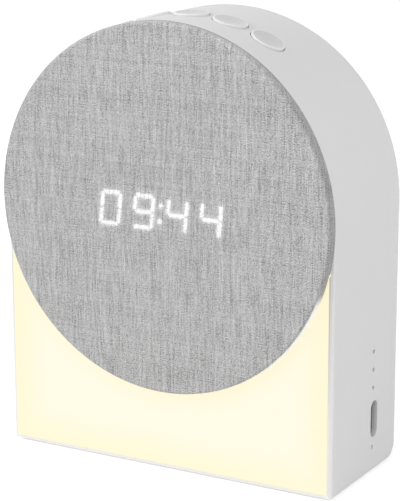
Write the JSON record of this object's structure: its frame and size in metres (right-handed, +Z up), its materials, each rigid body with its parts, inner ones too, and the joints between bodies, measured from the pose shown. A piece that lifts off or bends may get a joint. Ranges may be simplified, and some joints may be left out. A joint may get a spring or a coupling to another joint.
{
  "type": "digital alarm clock",
  "caption": "Arch-shaped bedside clock: cloth-faced disc with lit digits over a glowing lower lamp panel, push buttons on the arch, speaker and charging port.",
  "frame": {"origin": "centre of the footprint, on the surface the rubber feet stand on", "axes": "+Z up; -Y is the front with the disc and lamp; +X is the side with the charging port"},
  "size_m": [0.09, 0.0454, 0.111],
  "materials": {
    "shell_white": "fine matt moulded white",
    "button_white": "fine matt moulded white",
    "grille_plastic": "matt moulded",
    "cloth_grey": "heathered linen weave",
    "chassis_plastic": "matt moulded",
    "opal": "opal diffuser, lit warm",
    "reflector_white": "white reflector",
    "board_green": "solder mask",
    "board_white": "white solder mask",
    "led_warm": "phosphor",
    "led_white": "phosphor",
    "black_plastic": "matt",
    "film_smoke": "diffusing film",
    "steel": "zinc-plated",
    "magnet_dark": "sintered",
    "cone_paper": "black paper pulp",
    "surround_rubber": "soft roll",
    "spider_cloth": "resin-dipped cloth",
    "coil_copper": "enamelled wire",
    "gasket_foam": "foam",
    "connector_ivory": "moulded",
    "capacitor_sleeve": "can",
    "pipe_clear": "tinted clear moulding",
    "flex_amber": "polyimide strip",
    "cell_silver": "laminated pouch",
    "foot_rubber": "soft pad"
  },
  "bodies": {
    "clock": {"housing": "shell_white", "grille_disc": "grille_plastic", "grille_cloth": "cloth_grey", "front_chassis": "chassis_plastic", "lamp_diffuser": "opal", "lamp_reflector": "reflector_white", "lamp_board": "board_white", "lamp_leds": "led_warm", "display_mask": "black_plastic", "display_film": "film_smoke", "display_board": "board_green", "display_leds": "led_white", "speaker_gasket": "gasket_foam", "speaker_basket": "steel", "speaker_top_plate": "steel", "speaker_magnet": "magnet_dark", "speaker_yoke": "steel", "speaker_surround": "surround_rubber", "speaker_spider": "spider_cloth", "switch_bodies": "black_plastic", "button_flex": "flex_amber", "switch_backer": "chassis_plastic", "button_carrier": "chassis_plastic", "main_board": "board_green", "main_chips": "black_plastic", "board_capacitors": "capacitor_sleeve", "board_connectors": "connector_ivory", "usb_shell": "steel", "usb_tongue": "black_plastic", "light_pipe": "pipe_clear", "indicator_leds": "led_white", "reset_switch": "black_plastic", "battery_cell": "cell_silver", "chassis_screws": "steel", "carrier_screws": "steel", "backer_screws": "steel", "board_screws": "steel", "display_screws": "steel", "speaker_screws": "steel", "lug_screws": "steel", "lamp_screws": "steel", "rubber_feet": "foot_rubber"},
    "far_left_button": {"button_far_left": "button_white", "plunger_far_left": "black_plastic"},
    "left_button": {"button_left": "button_white", "plunger_left": "black_plastic"},
    "middle_button": {"button_middle": "button_white", "plunger_middle": "black_plastic"},
    "right_button": {"button_right": "button_white", "plunger_right": "black_plastic"},
    "far_right_button": {"button_far_right": "button_white", "plunger_far_right": "black_plastic"},
    "reset_key": {"reset_plunger": "black_plastic"},
    "speaker_diaphragm": {"speaker_cone": "cone_paper", "dust_cap": "cone_paper", "voice_coil": "coil_copper"}
  },
  "joints": [
    {"name": "far_left_button_press", "type": "slide", "parent": "clock", "child": "far_left_button", "axis": [0.4568, 0, -0.8895], "range_m": [0, 0.00035], "stiffness_N_per_m": 1000, "springref_m": -0.0008},
    {"name": "left_button_press", "type": "slide", "parent": "clock", "child": "left_button", "axis": [0.235, 0, -0.972], "range_m": [0, 0.00035], "stiffness_N_per_m": 1000, "springref_m": -0.0008},
    {"name": "middle_button_press", "type": "slide", "parent": "clock", "child": "middle_button", "axis": [0, 0, -1], "range_m": [0, 0.00035], "stiffness_N_per_m": 1000, "springref_m": -0.0008},
    {"name": "right_button_press", "type": "slide", "parent": "clock", "child": "right_button", "axis": [-0.235, 0, -0.972], "range_m": [0, 0.00035], "stiffness_N_per_m": 1000, "springref_m": -0.0008},
    {"name": "far_right_button_press", "type": "slide", "parent": "clock", "child": "far_right_button", "axis": [-0.4568, 0, -0.8895], "range_m": [0, 0.00035], "stiffness_N_per_m": 1000, "springref_m": -0.0008},
    {"name": "reset_press", "type": "slide", "parent": "clock", "child": "reset_key", "axis": [-1, 0, 0], "range_m": [0, 0.00025], "stiffness_N_per_m": 1000, "springref_m": -0.0008},
    {"name": "speaker_stroke", "type": "slide", "parent": "clock", "child": "speaker_diaphragm", "axis": [0, 1, 0], "range_m": [-0.0005, 0.0005], "stiffness_N_per_m": 1300, "deforming": ["speaker_surround", "speaker_spider"]}
  ]
}
